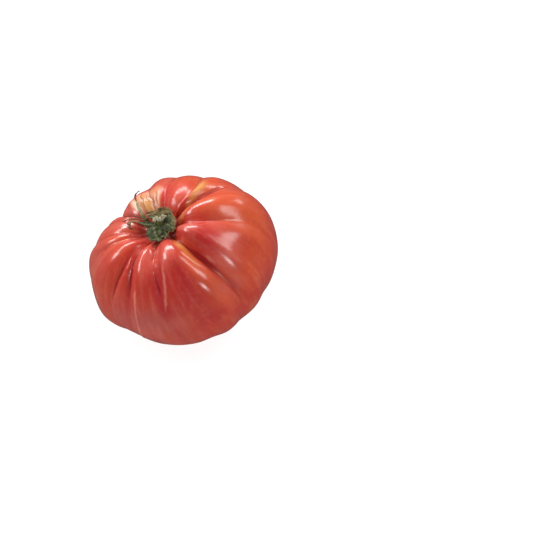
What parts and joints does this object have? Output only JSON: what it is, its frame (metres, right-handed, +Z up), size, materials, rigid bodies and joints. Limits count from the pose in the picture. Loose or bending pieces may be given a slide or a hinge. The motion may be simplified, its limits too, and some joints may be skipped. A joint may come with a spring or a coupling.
{
  "type": "tomato",
  "caption": "Ribbed pink beefsteak tomato, as picked, with its dried calyx and torn stem stub, lying leaned over on a small flat spot.",
  "frame": {"origin": "bottom centre of the tomato's box, on the surface that it rests on", "axes": "+Z up, -X the side that the stem leans towards, -Y the side that the picture looks from"},
  "size_m": [0.1098, 0.1082, 0.0791],
  "materials": {
    "skin": "glossy thin fruit skin, coral pink with orange and yellow tints towards the stem and dull rose below",
    "sepal": "dull hairy green leaf, dried to olive brown at its edges and tips",
    "stalk": "dull ridged green stalk with a pale fibrous torn top"
  },
  "bodies": {
    "root": {"fruit": "skin", "calyx": "sepal", "stem_stub": "stalk"}
  },
  "joints": []
}
